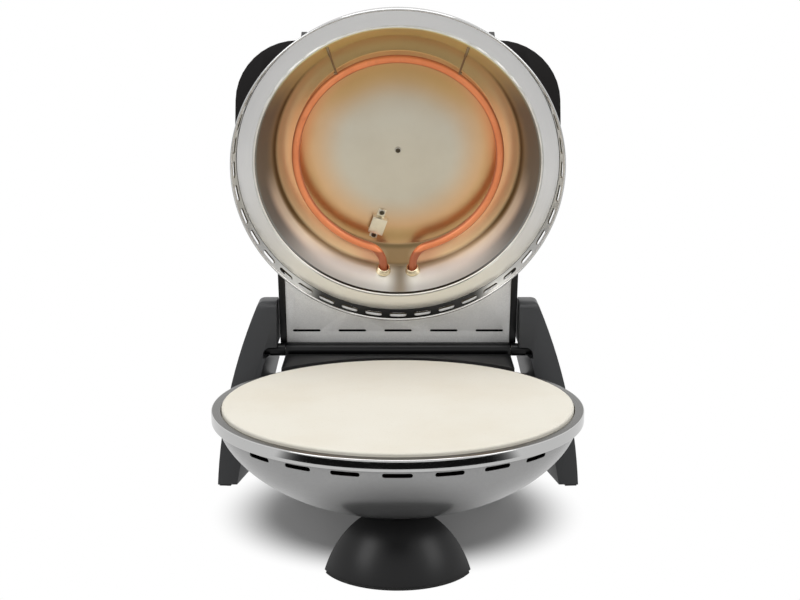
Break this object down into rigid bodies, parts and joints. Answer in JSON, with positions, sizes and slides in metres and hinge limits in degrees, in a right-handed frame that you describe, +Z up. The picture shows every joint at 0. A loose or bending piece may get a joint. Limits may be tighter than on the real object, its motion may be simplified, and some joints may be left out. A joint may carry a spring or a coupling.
{
  "type": "electric pizza maker",
  "caption": "Round electric pizza maker: a silver bowl with a baking stone under a hinged domed lid with a heating loop, on two tall rear legs and a half-dome front foot.",
  "frame": {"origin": "middle of the overall box, on the table", "axes": "+Z up, +X to the right as seen from the front, +Y to the rear, towards the hinge"},
  "size_m": [0.3636, 0.4052, 0.4768],
  "materials": {
    "silver_paint": "satin metallic paint",
    "chrome_trim": "polished",
    "flange_steel": "satin",
    "reflector_steel": "bright, heat tinted",
    "heating_tube": "oxidised, glowing orange when hot",
    "clip_steel": "satin",
    "terminal_ceramic": "matt",
    "baking_stone": "matt, fine grained",
    "foot_black": "satin black",
    "leg_charcoal": "satin charcoal",
    "leg_cover": "satin",
    "pad_rubber": "matt",
    "screw_steel": "bright",
    "thermostat_body": "matt",
    "lamp_red": "clear red",
    "blanket": "fibrous",
    "panel_paint": "satin light grey",
    "bush_brass": "satin"
  },
  "bodies": {
    "base": {"bowl_shell": "silver_paint", "rim_ring": "chrome_trim", "lower_reflector": "reflector_steel", "lower_element": "heating_tube", "lower_element_clips": "clip_steel", "lower_terminals": "terminal_ceramic", "front_foot": "foot_black", "front_foot_pad": "pad_rubber", "foot_screws": "screw_steel", "left_leg": "leg_charcoal", "right_leg": "leg_charcoal", "left_leg_cover": "leg_cover", "right_leg_cover": "leg_cover", "rear_foot_pads": "pad_rubber", "leg_screws": "screw_steel", "hinge_bosses": "foot_black", "hinge_pins": "screw_steel", "rear_housing": "foot_black", "housing_screws": "screw_steel", "housing_cover": "foot_black", "cover_screws": "screw_steel", "thermostat": "thermostat_body", "pilot_lamp": "lamp_red", "terminal_block": "terminal_ceramic", "cord_gland": "foot_black"},
    "stone": {"baking_stone": "baking_stone"},
    "knob": {"thermostat_knob": "foot_black"},
    "lid": {"lid_shell": "silver_paint", "lid_rim_band": "chrome_trim", "lid_flange_ring": "flange_steel", "upper_reflector": "reflector_steel", "upper_element": "heating_tube", "element_ferrules": "clip_steel", "element_supports": "clip_steel", "upper_terminals": "terminal_ceramic", "probe_bracket": "clip_steel", "reflector_screws": "screw_steel", "insulation_blanket": "blanket", "handle": "foot_black", "handle_brackets": "clip_steel", "handle_screws": "screw_steel", "neck_housing": "foot_black", "neck_cover": "foot_black", "neck_panel": "panel_paint", "neck_screws": "screw_steel", "hinge_bushes": "bush_brass"}
  },
  "joints": [
    {"name": "lid_hinge", "type": "hinge", "parent": "base", "child": "lid", "pos_m": [0, 0.15765, 0.1343], "axis": [-1, 0, 0], "range_deg": [-74.1, 15.9]},
    {"name": "stone_lift", "type": "slide", "parent": "base", "child": "stone", "axis": [0, 0, 1], "range_m": [0, 0.005]},
    {"name": "thermostat_turn", "type": "hinge", "parent": "base", "child": "knob", "pos_m": [-0.062, 0.18565, 0.0885], "axis": [0, 1, 0], "range_deg": [0, 270]}
  ]
}
